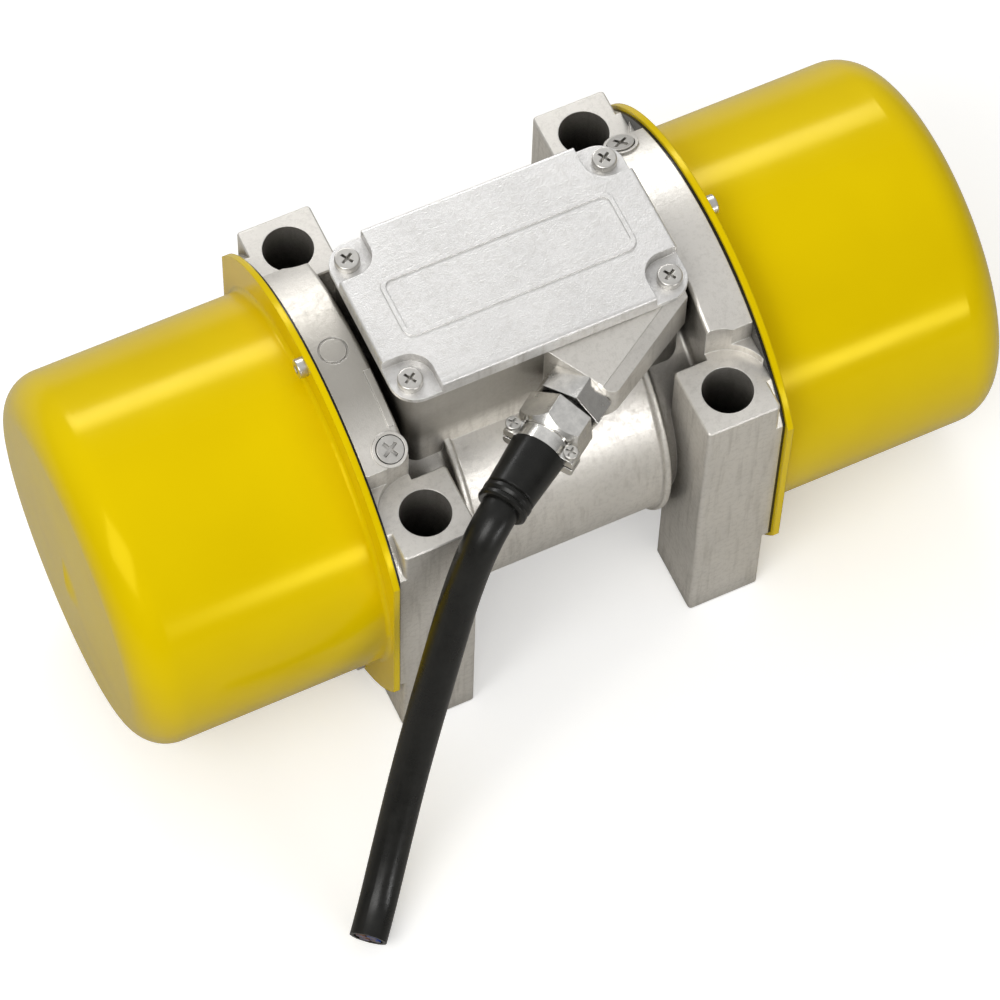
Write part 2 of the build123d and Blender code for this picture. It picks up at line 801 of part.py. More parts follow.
# The earth wire dips below the supply wires and passes behind the motor leads to its screw.
earth_x = earth_screw_place[0] + wire_reach
earth_level = box_floor + 3 * wire_radius
earth_bends = ((38.5, -17), (earth_x, -8), (earth_x, earth_screw_place[1]))
with BuildPart() as earth_wire:
    core_end = along_gland(wire_start).from_local_coords((core_offset, -core_offset, 0))
    earth_turn = along_gland(wire_start - riser_step).from_local_coords((core_offset, -core_offset, 0))
    bends = [(*bend, earth_level) for bend in earth_bends]
    add(wire([core_end, earth_turn, *bends, (*earth_bends[-1], box_floor + lug_thickness)]))
    add(lug(earth_screw_place, earth_bends[-1], box_floor, earth_screw_radius + fitted_gap))
write(earth_wire, "earth_wire")

# ---------------------------------------------------------------- cable gland and cable
gland_origin = (*gland_face, gland_height)
gland_axis = Axis(gland_origin, (*gland_direction, 0))
seal_start = gland_nut_end - 1 - gland_seal_length - running_gap
gland_side_plane = Plane(gland_origin, x_dir=(*gland_direction, 0), z_dir=(*gland_face_along, 0))
with BuildPart() as gland_body:
    with BuildSketch(along_gland(-gland_thread_length)):
        Circle(gland_thread_radius)
    extrude(amount=gland_thread_length + seal_start - running_gap)
    with BuildSketch(along_gland(0)):
        RegularPolygon(gland_across_flats / 2, 6, major_radius=False, rotation=gland_body_turn)
    extrude(amount=gland_hex_end)
    with BuildSketch(along_gland(-gland_thread_length)):
        Circle(cable_radius + 0.1)
    extrude(amount=gland_thread_length + gland_nut_end, mode=Mode.SUBTRACT)
write(gland_body, "gland_body")

with BuildPart() as gland_ring:
    with BuildSketch(along_gland(gland_hex_end)):
        Circle(gland_across_flats / 2 - 1)
        Circle(gland_thread_radius + fitted_gap, mode=Mode.SUBTRACT)
    extrude(amount=gland_ring_end - gland_hex_end)
    fillet(gland_ring.edges().filter_by(GeomType.CIRCLE).sort_by(SortBy.RADIUS)[-2:], radius=0.5)
write(gland_ring, "gland_ring")

with BuildPart() as gland_nut:
    with BuildSketch(along_gland(gland_ring_end)):
        RegularPolygon(gland_across_flats / 2, 6, major_radius=False, rotation=gland_nut_turn)
    extrude(amount=gland_nut_end - gland_ring_end)
    # round the corners of the outer end
    with BuildSketch(gland_side_plane):
        with BuildLine():
            Polyline(
                (gland_nut_end - gland_nut_bevel, gland_across_flats / 2 * 1.16),
                (gland_nut_end, gland_across_flats / 2 - 1),
                (gland_nut_end + 1, gland_across_flats),
                (gland_nut_end - gland_nut_bevel, gland_across_flats),
                close=True,
            )
        make_face()
    revolve(axis=gland_axis, mode=Mode.SUBTRACT)
    with BuildSketch(along_gland(gland_ring_end)):
        Circle(gland_thread_radius + running_gap)
    extrude(amount=gland_nut_end - gland_ring_end - 1, mode=Mode.SUBTRACT)
    with BuildSketch(along_gland(gland_ring_end)):
        Circle(cable_radius + 0.2)
    extrude(amount=gland_nut_end, mode=Mode.SUBTRACT)
write(gland_nut, "gland_nut")

with BuildPart() as gland_seal:
    with BuildSketch(along_gland(seal_start)):
        Circle(gland_thread_radius)
        Circle(cable_radius + fitted_gap, mode=Mode.SUBTRACT)
    extrude(amount=gland_seal_length)
write(gland_seal, "gland_seal")

clamp_start = gland_nut_end + running_gap
clamp_middle = along_gland((clamp_start + gland_clamp_end) / 2).origin
clamp_screw_plane = Plane(clamp_middle, x_dir=(*gland_face_along, 0), z_dir=(0, 0, 1))
with BuildPart() as cable_clamp:
    with BuildSketch(along_gland(clamp_start)):
        Circle(cable_radius + clamp_thickness)
        RectangleRounded(clamp_width, clamp_height, clamp_corner_radius)
        Circle(cable_radius + running_gap, mode=Mode.SUBTRACT)
        Rectangle(2 * clamp_width, clamp_slit, mode=Mode.SUBTRACT)
    extrude(amount=gland_clamp_end - clamp_start)
    with BuildSketch(clamp_screw_plane):
        with GridLocations(2 * clamp_screw_reach, 0, 2, 1):
            Circle(clamp_screw_radius + running_gap)
    extrude(amount=clamp_height, both=True, mode=Mode.SUBTRACT)
write(cable_clamp, "cable_clamp")

with BuildPart() as clamp_screws:
    with BuildSketch(clamp_screw_plane.offset(clamp_height / 2)):
        with GridLocations(2 * clamp_screw_reach, 0, 2, 1):
            Circle(clamp_screw_head_radius)
    extrude(amount=clamp_screw_head_height)
    fillet(clamp_screws.edges().group_by(Axis.Z)[-1], radius=screw_head_edge)
    with BuildSketch(clamp_screw_plane.offset(clamp_height / 2)):
        with GridLocations(2 * clamp_screw_reach, 0, 2, 1):
            Circle(clamp_screw_radius)
    extrude(amount=-clamp_height)
    with BuildSketch(clamp_screw_plane.offset(clamp_height / 2 + clamp_screw_head_height)):
        with GridLocations(2 * clamp_screw_reach, 0, 2, 1):
            Rectangle(1.4 * clamp_screw_head_radius, block_screw_slot_width)
            Rectangle(block_screw_slot_width, 1.4 * clamp_screw_head_radius)
    extrude(amount=-clamp_slot_depth, mode=Mode.SUBTRACT)
write(clamp_screws, "clamp_screws")

boot_start = gland_clamp_end + running_gap
with BuildPart() as cable_boot:
    # a tapering sleeve that ends in two soft rings
    boot_outline = [
        (boot_start, cable_radius + running_gap),
        (boot_start, boot_radius),
        (boot_end - 6, boot_tip_radius),
    ]
    for ring_end in (boot_end - 3, boot_end):
        boot_outline += [
            (ring_end - 2.4, boot_tip_radius - boot_groove_depth),
            (ring_end - 1.8, boot_tip_radius + 0.2),
            (ring_end - 0.6, boot_tip_radius + 0.2),
        ]
    boot_outline += [(boot_end, boot_tip_radius - boot_groove_depth), (boot_end, cable_radius + running_gap)]
    revolve(outline(gland_side_plane, boot_outline), axis=gland_axis)
write(cable_boot, "cable_boot")

# The cable leaves the boot level, bends over the front left foot post and lies down beside the motor.
with BuildLine() as cable_path:
    cable_inside = Line(along_gland(cable_start).origin, along_gland(boot_end - 1).origin)
    Spline(cable_inside @ 1, *cable_points, tangents=((*gland_direction, 0), cable_end_direction))
cable_foot = Plane(origin=cable_inside @ 0, z_dir=cable_inside % 0, x_dir=(0, 0, 1))

with BuildPart() as cable_jacket:
    with BuildSketch(cable_foot):
        Circle(cable_radius)
        Circle(cable_inner_radius, mode=Mode.SUBTRACT)
    sweep(path=cable_path.line)
write(cable_jacket, "cable_jacket")

with BuildPart() as cable_cores:
    with BuildSketch(cable_foot):
        with PolarLocations(core_ring, core_count, start_angle=45):
            Circle(core_radius - running_gap)
    sweep(path=cable_path.line)
write(cable_cores, "cable_cores")

# ---------------------------------------------------------------- stator, rotor core and shaft
with BuildPart() as stator_core:
    with BuildSketch(across(-stator_half_length)):
        Circle(bore_radius - fitted_gap)
        Circle(stator_inner_radius, mode=Mode.SUBTRACT)
        with PolarLocations((slot_bottom_radius + slot_top_radius) / 2, slot_count):
            Rectangle(slot_top_radius - slot_bottom_radius, slot_width, mode=Mode.SUBTRACT)
        with PolarLocations(stator_inner_radius + 1, slot_count):
            Rectangle(4, slot_opening, mode=Mode.SUBTRACT)
    extrude(amount=2 * stator_half_length)
write(stator_core, "stator_core")

with BuildPart() as stator_winding:
    for station, sense in ((winding_start, 1), (-winding_start, -1)):
        with BuildSketch(across(station)):
            Circle(winding_outer_radius)
            Circle(winding_inner_radius, mode=Mode.SUBTRACT)
        extrude(amount=sense * (winding_end - winding_start))
    winding_edges = stator_winding.edges().filter_by(GeomType.CIRCLE)
    end_edges = winding_edges.group_by(Axis.X)[0] + winding_edges.group_by(Axis.X)[-1]
    fillet(end_edges, radius=winding_edge_radius)
    with BuildSketch(across(-winding_start - 1)):
        with PolarLocations((slot_bottom_radius + slot_top_radius) / 2, slot_count):
            Rectangle(slot_top_radius - slot_bottom_radius - 2 * slot_liner, slot_width - 2 * slot_liner)
    extrude(amount=2 * winding_start + 2)
write(stator_winding, "stator_winding")

with BuildPart() as rotor_core:
    with BuildSketch(across(-stator_half_length)):
        Circle(stator_inner_radius - air_gap)
        Circle(shaft_core_radius + fitted_gap, mode=Mode.SUBTRACT)
        with PolarLocations(rotor_bar_ring, rotor_bar_count):
            Circle(rotor_bar_radius, mode=Mode.SUBTRACT)
    extrude(amount=2 * stator_half_length)
write(rotor_core, "rotor_core")

with BuildPart() as rotor_cage:
    with BuildSketch(across(-stator_half_length - 1)):
        with PolarLocations(rotor_bar_ring, rotor_bar_count):
            Circle(rotor_bar_radius - fitted_gap)
    extrude(amount=2 * stator_half_length + 2)
    for station, sense in ((stator_half_length + fitted_gap, 1), (-stator_half_length - fitted_gap, -1)):
        with BuildSketch(across(station)):
            Circle(cage_ring_outer)
            Circle(cage_ring_inner, mode=Mode.SUBTRACT)
        extrude(amount=sense * cage_ring_length)
write(rotor_cage, "rotor_cage")

shaft_half = [
    (0, 0),
    (0, shaft_core_radius),
    (bearing_start, shaft_core_radius),
    (bearing_start, shaft_radius),
    (nut_start, shaft_radius),
    (nut_start, thread_radius),
    (shaft_end - shaft_point, thread_radius),
    (shaft_end, thread_radius - shaft_point),
    (shaft_end, 0),
]
with BuildPart() as shaft:
    with BuildSketch(axial_plane):
        with BuildLine():
            Polyline(*shaft_half, close=True)
        make_face()
        mirror(about=Plane.YZ)
    revolve(axis=motor_axis)
    # keyways on the upper side, one for each fixed weight
    with BuildSketch(Plane.XY.offset(axis_height + shaft_radius - key_depth)):
        with GridLocations(key_start + key_end, 0, 2, 1):
            Rectangle(key_end - key_start + 2 * fitted_gap, key_width + 2 * fitted_gap)
    extrude(amount=2 * key_depth, mode=Mode.SUBTRACT)
write(shaft, "shaft")

with BuildPart() as weight_keys:
    with BuildSketch(Plane.XY.offset(axis_height + shaft_radius - key_depth)):
        with GridLocations(key_start + key_end, 0, 2, 1):
            Rectangle(key_end - key_start, key_width)
    extrude(amount=key_height)
write(weight_keys, "weight_keys")

# ---------------------------------------------------------------- bearings (right-hand end, then mirrored)
outer_ring_outline = [
    (bearing_start, bearing_radius - fitted_gap),
    (bearing_end, bearing_radius - fitted_gap),
    (bearing_end, roller_ring + shoulder_height_inside),
    (roller_end + roller_end_gap, roller_ring + shoulder_height_inside),
    (roller_end + roller_end_gap, roller_ring + roller_radius),
    (roller_start - roller_end_gap, roller_ring + roller_radius),
    (roller_start - roller_end_gap, roller_ring + shoulder_height_inside),
    (bearing_start, roller_ring + shoulder_height_inside),
]
with BuildPart() as bearing_outer_ring:
    revolve(outline(axial_plane, outer_ring_outline), axis=motor_axis)
write_pair(bearing_outer_ring, "bearing_outer_ring")

inner_ring_outline = [
    (bearing_start, shaft_radius + fitted_gap),
    (bearing_end, shaft_radius + fitted_gap),
    (bearing_end, roller_ring - roller_radius),
    (roller_start - 2 * roller_end_gap, roller_ring - roller_radius),
    (roller_start - 2 * roller_end_gap, roller_ring - shoulder_height_inside),
    (bearing_start, roller_ring - shoulder_height_inside),
]
with BuildPart() as bearing_inner_ring:
    revolve(outline(axial_plane, inner_ring_outline), axis=motor_axis)
write_pair(bearing_inner_ring, "bearing_inner_ring")

with BuildPart() as bearing_rollers:
    with BuildSketch(across(roller_start)):
        with PolarLocations(roller_ring, roller_count):
            Circle(roller_radius - running_gap)
    extrude(amount=roller_end - roller_start)
write_pair(bearing_rollers, "bearing_rollers")

with BuildPart() as bearing_cage:
    with BuildSketch(across(bearing_start + cage_end_gap)):
        Circle(roller_ring + cage_half_thickness)
        Circle(roller_ring - cage_half_thickness, mode=Mode.SUBTRACT)
    extrude(amount=bearing_end - bearing_start - 2 * cage_end_gap)
    with BuildSketch(across(roller_start - roller_end_gap)):
        with PolarLocations(roller_ring, roller_count):
            Circle(roller_radius + running_gap)
    extrude(amount=roller_end - roller_start + 2 * roller_end_gap, mode=Mode.SUBTRACT)
write_pair(bearing_cage, "bearing_cage")

# ---------------------------------------------------------------- bearing shields, covers and their screws
shield_outline = [
    (shield_start, labyrinth_radius),
    (shield_start, bore_radius - running_gap),
    (register_start, bore_radius - running_gap),
    (register_start, register_radius - running_gap),
    (band_end, register_radius - running_gap),
    (band_end, bearing_radius),
    (bearing_start, bearing_radius),
    (bearing_start, grease_radius),
    (shield_start + shield_wall, grease_radius),
    (shield_start + shield_wall, labyrinth_radius),
]
with BuildPart() as bearing_shield:
    revolve(outline(axial_plane, shield_outline), axis=motor_axis)
    with BuildSketch(across(band_end)):
        for angle in shield_screw_angles:
            with PolarLocations(shield_screw_ring, 1, start_angle=angle):
                Circle(shield_screw_radius + clearance_gap)
        for angle in cover_screw_angles:
            with PolarLocations(cover_screw_ring, 1, start_angle=angle):
                Circle(cover_screw_radius + running_gap)
    extrude(amount=-(band_end - register_start), mode=Mode.SUBTRACT)
    with BuildSketch(across(register_start)):
        for angle in cover_screw_angles:
            with PolarLocations(cover_screw_ring, 1, start_angle=angle):
                Circle(cover_screw_radius + running_gap)
    extrude(amount=-cover_screw_depth, mode=Mode.SUBTRACT)
write_pair(bearing_shield, "bearing_shield")

cover_outline = [
    (bearing_end, labyrinth_radius),
    (bearing_end, bearing_radius - running_gap),
    (band_end, bearing_radius - running_gap),
    (band_end, cover_radius),
    (cover_end, cover_radius),
    (cover_end, labyrinth_radius),
]
with BuildPart() as bearing_cover:
    revolve(outline(axial_plane, cover_outline), axis=motor_axis)
    with BuildSketch(across(cover_end)):
        for angle in cover_screw_angles:
            with PolarLocations(cover_screw_ring, 1, start_angle=angle):
                Circle(cover_screw_radius + clearance_gap)
    extrude(amount=-(cover_end - band_end), mode=Mode.SUBTRACT)
write_pair(bearing_cover, "bearing_cover")


def axial_screws(seat, depth, ring, angles, radius, head_radius, head_height, socket):
    """Screws parallel to the motor axis, with round socket heads seated on a face that looks towards +X."""
    with BuildPart() as screws:
        for angle in angles:
            with BuildSketch(across(seat)):
                with PolarLocations(ring, 1, start_angle=angle):
                    Circle(head_radius)
            extrude(amount=head_height)
        fillet(screws.edges().group_by(Axis.X)[-1], radius=screw_head_edge)
        for angle in angles:
            with BuildSketch(across(seat)):
                with PolarLocations(ring, 1, start_angle=angle):
                    Circle(radius)
            extrude(amount=-depth)
            with BuildSketch(across(seat + head_height)):
                with PolarLocations(ring, 1, start_angle=angle):
                    RegularPolygon(socket, 6, major_radius=False)
            extrude(amount=-0.6 * head_height, mode=Mode.SUBTRACT)
    return screws


shield_screws = axial_screws(
    band_end,
    shield_screw_length,
    shield_screw_ring,
    shield_screw_angles,
    shield_screw_radius,
    shield_screw_head_radius,
    shield_screw_head_height,
    shield_screw_socket,
)
write_both_ends(shield_screws, "shield_screws")
cover_screws = axial_screws(
    cover_end,
    cover_screw_length,
    cover_screw_ring,
    cover_screw_angles,
    cover_screw_radius,
    cover_screw_head_radius,
    cover_screw_head_height,
    cover_screw_socket,
)
write_both_ends(cover_screws, "cover_screws")

# ---------------------------------------------------------------- eccentric weights
with BuildPart() as spacer_sleeve:
    with BuildSketch(across(bearing_end)):
        Circle(shaft_core_radius)
        Circle(shaft_radius + fitted_gap, mode=Mode.SUBTRACT)
    extrude(amount=fixed_weight_start - bearing_end)
write_pair(spacer_sleeve, "spacer_sleeve")

with BuildPart() as fixed_weight:
    with BuildSketch(across(fixed_weight_start)) as weight_face:
        Circle(weight_radius)
        with BuildLine():
            Polyline(
                (0, 0),
                (weight_reach, -weight_drop),
                (weight_reach, weight_reach),
                (-weight_reach, weight_reach),
                (-weight_reach, -weight_drop),
                close=True,
            )
        make_face(mode=Mode.SUBTRACT)
        Circle(weight_hub_radius)
        Circle(shaft_radius + fitted_gap, mode=Mode.SUBTRACT)
        with Locations((0, shaft_radius)):
            Rectangle(key_width + 2 * fitted_gap, 2 * keyway_height, mode=Mode.SUBTRACT)
    extrude(amount=fixed_weight_end - fixed_weight_start)
    rims = fixed_weight.edges().filter_by(GeomType.CIRCLE)
    chamfer(rims.filter_by(lambda e: abs(e.radius - weight_radius) < 0.1), length=weight_edge)
write_pair(fixed_weight, "fixed_weight")

with BuildPart() as index_disc:
    with BuildSketch(across(fixed_weight_end)):
        Circle(disc_radius)
        Circle(shaft_radius + fitted_gap, mode=Mode.SUBTRACT)
        with Locations((0, shaft_radius)):
            Rectangle(key_width + 2 * fitted_gap, 2 * keyway_height, mode=Mode.SUBTRACT)
        with PolarLocations(disc_radius, disc_notch_count):
            Rectangle(disc_notch_length, disc_notch_width, mode=Mode.SUBTRACT)
    extrude(amount=moving_weight_start - fixed_weight_end)
write_pair(index_disc, "index_disc")

moving_start = moving_weight_start + 2 * running_gap
moving_end = moving_weight_end - 2 * running_gap
ear_screw_place = ((moving_start + moving_end) / 2, 0, axis_height + ear_screw_height)
ear_screw_plane = Plane(ear_screw_place, x_dir=(1, 0, 0), z_dir=(0, -1, 0))
with BuildPart() as adjustable_weight:
    with BuildSketch(across(moving_start)):
        Circle(weight_radius)
        with BuildLine():
            Polyline(
                (0, 0),
                (weight_reach, -weight_drop),
                (weight_reach, weight_reach),
                (-weight_reach, weight_reach),
                (-weight_reach, -weight_drop),
                close=True,
            )
        make_face(mode=Mode.SUBTRACT)
        Circle(weight_hub_radius)
        with Locations((0, (ear_top + shaft_radius) / 2)):
            Rectangle(ear_width, ear_top - shaft_radius)
        Circle(shaft_radius + running_gap, mode=Mode.SUBTRACT)
        with Locations((0, (ear_top + shaft_radius) / 2)):
            Rectangle(ear_slit, ear_top - shaft_radius + 4, mode=Mode.SUBTRACT)
    extrude(amount=moving_end - moving_start)
    rims = adjustable_weight.edges().filter_by(GeomType.CIRCLE)
    chamfer(rims.filter_by(lambda e: abs(e.radius - weight_radius) < 0.1), length=weight_edge)
    with BuildSketch(ear_screw_plane):
        Circle(ear_screw_radius + running_gap)
    extrude(amount=ear_width, both=True, mode=Mode.SUBTRACT)
write_pair(adjustable_weight, "adjustable_weight")

# clamping screw through the two ears, with a hexagon nut behind the far ear
with BuildPart() as ear_screw:
    with BuildSketch(ear_screw_plane.offset(ear_width / 2)):
        Circle(ear_head_radius)
    extrude(amount=ear_head_height)
    fillet(ear_screw.edges().group_by(Axis.Y)[0], radius=ear_head_edge)
    with BuildSketch(ear_screw_plane.offset(ear_width / 2)):
        Circle(ear_screw_radius)
    extrude(amount=-ear_width - ear_screw_end)
    with BuildSketch(ear_screw_plane.offset(ear_width / 2 + ear_head_height)):
        RegularPolygon(ear_socket, 6, major_radius=False)
    extrude(amount=-ear_socket_depth, mode=Mode.SUBTRACT)
    with BuildSketch(ear_screw_plane.offset(-ear_width / 2)):
        RegularPolygon(ear_nut_half_flats, 6, major_radius=False)
        Circle(ear_screw_radius + fitted_gap, mode=Mode.SUBTRACT)
    extrude(amount=-ear_nut_height)
write_pair(ear_screw, "ear_screw")

with BuildPart() as shaft_washer:
    with BuildSketch(across(moving_weight_end)):
        Circle(washer_radius)
        Circle(shaft_radius + fitted_gap, mode=Mode.SUBTRACT)
    extrude(amount=nut_start - moving_weight_end)
write_both_ends(shaft_washer, "shaft_washers")

with BuildPart() as shaft_nut:
    with BuildSketch(across(nut_start)):
        RegularPolygon(shaft_nut_half_flats, 6, major_radius=False)
    extrude(amount=nut_end - nut_start)
    with BuildSketch(axial_plane):
        with BuildLine():
            Polyline(
                (nut_end - nut_bevel_length, nut_bevel_start),
                (nut_end, nut_bevel_end),
                (nut_end + 1, nut_bevel_reach),
                (nut_end - nut_bevel_length, nut_bevel_reach),
                close=True,
            )
        make_face()
    revolve(axis=motor_axis, mode=Mode.SUBTRACT)
    with BuildSketch(across(nut_start)):
        Circle(thread_radius + fitted_gap)
    extrude(amount=nut_end, mode=Mode.SUBTRACT)
write_both_ends(shaft_nut, "shaft_nuts")

# ---------------------------------------------------------------- hoods, their gaskets and screws
hood_end = total_length / 2
dome_radius = (hood_radius**2 + hood_crown**2) / (2 * hood_crown)
dome_centre = hood_end - dome_radius
shoulder_height = hood_radius - hood_shoulder
shoulder_station = dome_centre + ((dome_radius - hood_shoulder) ** 2 - shoulder_height**2) ** 0.5
dome_angle = atan2(shoulder_height, shoulder_station - dome_centre)


def hood_form(start, inset):
    """Half the long section of a hood, inset from its outer surface: wall, round shoulder and domed end."""
    shoulder = hood_shoulder - inset
    dome = dome_radius - inset
    turn = (dome_angle + pi / 2) / 2
    shoulder_middle = (shoulder_station + shoulder * cos(turn), shoulder_height + shoulder * sin(turn))
    dome_edge = (dome_centre + dome * cos(dome_angle), dome * sin(dome_angle))
    dome_middle = (dome_centre + dome * cos(dome_angle / 2), dome * sin(dome_angle / 2))
    with BuildSketch(axial_plane) as form:
        with BuildLine():
            wall_end = (shoulder_station, hood_radius - inset)
            Polyline((hood_end - inset, 0), (start, 0), (start, hood_radius - inset), wall_end)
            ThreePointArc(wall_end, shoulder_middle, dome_edge)
            ThreePointArc(dome_edge, dome_middle, (hood_end - inset, 0))
        make_face()
    return form.sketch


flange_front = flange_start + flange_thickness
root_far = flange_front + hood_root_radius
root_top = hood_radius + hood_root_radius
with BuildPart() as hood:
    revolve(hood_form(flange_start, 0), axis=motor_axis)
    # flange with a rounded root, flat on both sides and at the foot
    with BuildSketch(axial_plane):
        with BuildLine():
            Polyline(
                (root_far, hood_radius),
                (root_far, hood_radius - 1),
                (flange_start, hood_radius - 1),
                (flange_start, flange_radius),
                (flange_front, flange_radius),
                (flange_front, root_top),
            )
            root_turn = hood_root_radius * sin(pi / 4)
            root_middle = (root_far - root_turn, root_top - root_turn)
            ThreePointArc((flange_front, root_top), root_middle, (root_far, hood_radius))
        make_face()
    revolve(axis=motor_axis)
    with BuildSketch(Plane.XY.offset(flange_bottom)):
        with Locations((hood_end / 2, 0)):
            Rectangle(hood_end, 2 * flange_half_width)
    extrude(amount=2 * flange_radius, mode=Mode.INTERSECT)
    revolve(hood_form(flange_start - 1, hood_wall), axis=motor_axis, mode=Mode.SUBTRACT)
    with BuildSketch(across(flange_start)):
        for angle in hood_screw_angles:
            with PolarLocations(hood_screw_ring, 1, start_angle=angle):
                Circle(hood_screw_radius + clearance_gap)
    extrude(amount=flange_thickness, mode=Mode.SUBTRACT)
write_pair(hood, "hood")

with BuildPart() as hood_gasket:
    with BuildSketch(across(band_end)):
        Circle(band_radius)
        gasket_foot = band_bottom - axis_height
        with Locations((0, (band_radius + gasket_foot) / 2)):
            Rectangle(2 * band_half_width, band_radius - gasket_foot, mode=Mode.INTERSECT)
        Circle(gasket_inner_radius, mode=Mode.SUBTRACT)
        for angle in hood_screw_angles:
            with PolarLocations(hood_screw_ring, 1, start_angle=angle):
                Circle(hood_screw_radius + clearance_gap, mode=Mode.SUBTRACT)
    extrude(amount=flange_start - band_end)
write_pair(hood_gasket, "hood_gasket")

hood_screws = axial_screws(
    flange_start + flange_thickness,
    flange_start + flange_thickness - band_end + hood_screw_hole_depth - screw_head_edge,
    hood_screw_ring,
    hood_screw_angles,
    hood_screw_radius,
    hood_screw_head_radius,
    hood_screw_head_height,
    hood_screw_socket,
)
write_pair(hood_screws, "hood_screws")

# ---------------------------------------------------------------- radial plugs in the end bands
with BuildPart() as band_plugs:
    for station, angle in band_plug_places:
        seat_radius = band_radius + plug_boss_height - plug_recess
        with BuildSketch(outward(station, seat_radius, angle)):
            Circle(plug_head_radius)
        extrude(amount=plug_head_height)
        with BuildSketch(outward(station, seat_radius, angle)):
            Circle(plug_thread_radius)
        extrude(amount=-plug_hole_depth + plug_recess + 1)
        with BuildSketch(outward(station, seat_radius + plug_head_height, angle)):
            Rectangle(plug_slot_length, plug_slot_width, rotation=30)
            Rectangle(plug_slot_length, plug_slot_width, rotation=120)
        extrude(amount=-plug_slot_depth, mode=Mode.SUBTRACT)
write(band_plugs, "band_plugs")
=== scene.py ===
"""Looks of the external concrete vibrator: node materials for every piece, studio, light and camera.

Everything is in metres, in the frame of the CAD model: +X along the motor axis, +Z up, and the origin
between the feet. Each finish works on the object's own coordinates, so it stays put when a piece moves.
"""

from math import cos, pi, radians, sin

import bpy
from mathutils import Matrix, Vector


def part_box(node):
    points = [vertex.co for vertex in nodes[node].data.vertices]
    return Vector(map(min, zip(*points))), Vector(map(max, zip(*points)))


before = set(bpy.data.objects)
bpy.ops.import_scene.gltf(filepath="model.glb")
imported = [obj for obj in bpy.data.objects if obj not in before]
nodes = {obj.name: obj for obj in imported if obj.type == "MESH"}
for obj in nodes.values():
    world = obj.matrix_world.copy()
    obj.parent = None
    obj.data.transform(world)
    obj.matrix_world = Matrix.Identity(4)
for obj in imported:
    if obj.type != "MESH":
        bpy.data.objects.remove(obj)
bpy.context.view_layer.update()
MM = 0.001


# ---------------------------------------------------------------- places taken from the frame
def middle(node):
    """The middle of a CAD node's box."""
    low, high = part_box(node)
    return (low + high) / 2


axis_height = middle("shaft").z
box_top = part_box("housing")[1].z
box_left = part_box("terminal_lid")[0].x
box_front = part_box("terminal_lid")[0].y
centre = (0, 0, axis_height)


# ---------------------------------------------------------------- shared tones and reaches
HOUSING_SKIN = (0.87, 0.84, 0.785)
LID_SKIN = (0.90, 0.89, 0.875)
# painted shade for corners and gaps, laid on where occlusion is high
CREVICE_SHADE = (0.11, 0.094, 0.07)
# painted shade for the deepest gaps, near black
DEEP_GAP_SHADE = (0.02, 0.016, 0.011)
# painted shade tone for the left end near the box top and for the sides of the box
PAINTED_DULL_SHADE = (0.36, 0.34, 0.30)
GRAIN_SHADE = (0.42, 0.40, 0.36)
STREAK_SHADE = (0.46, 0.43, 0.38)
BRIGHT_EDGE = (0.97, 0.96, 0.93)
CREVICE_REACH = 24
WHITE = (1, 1, 1)


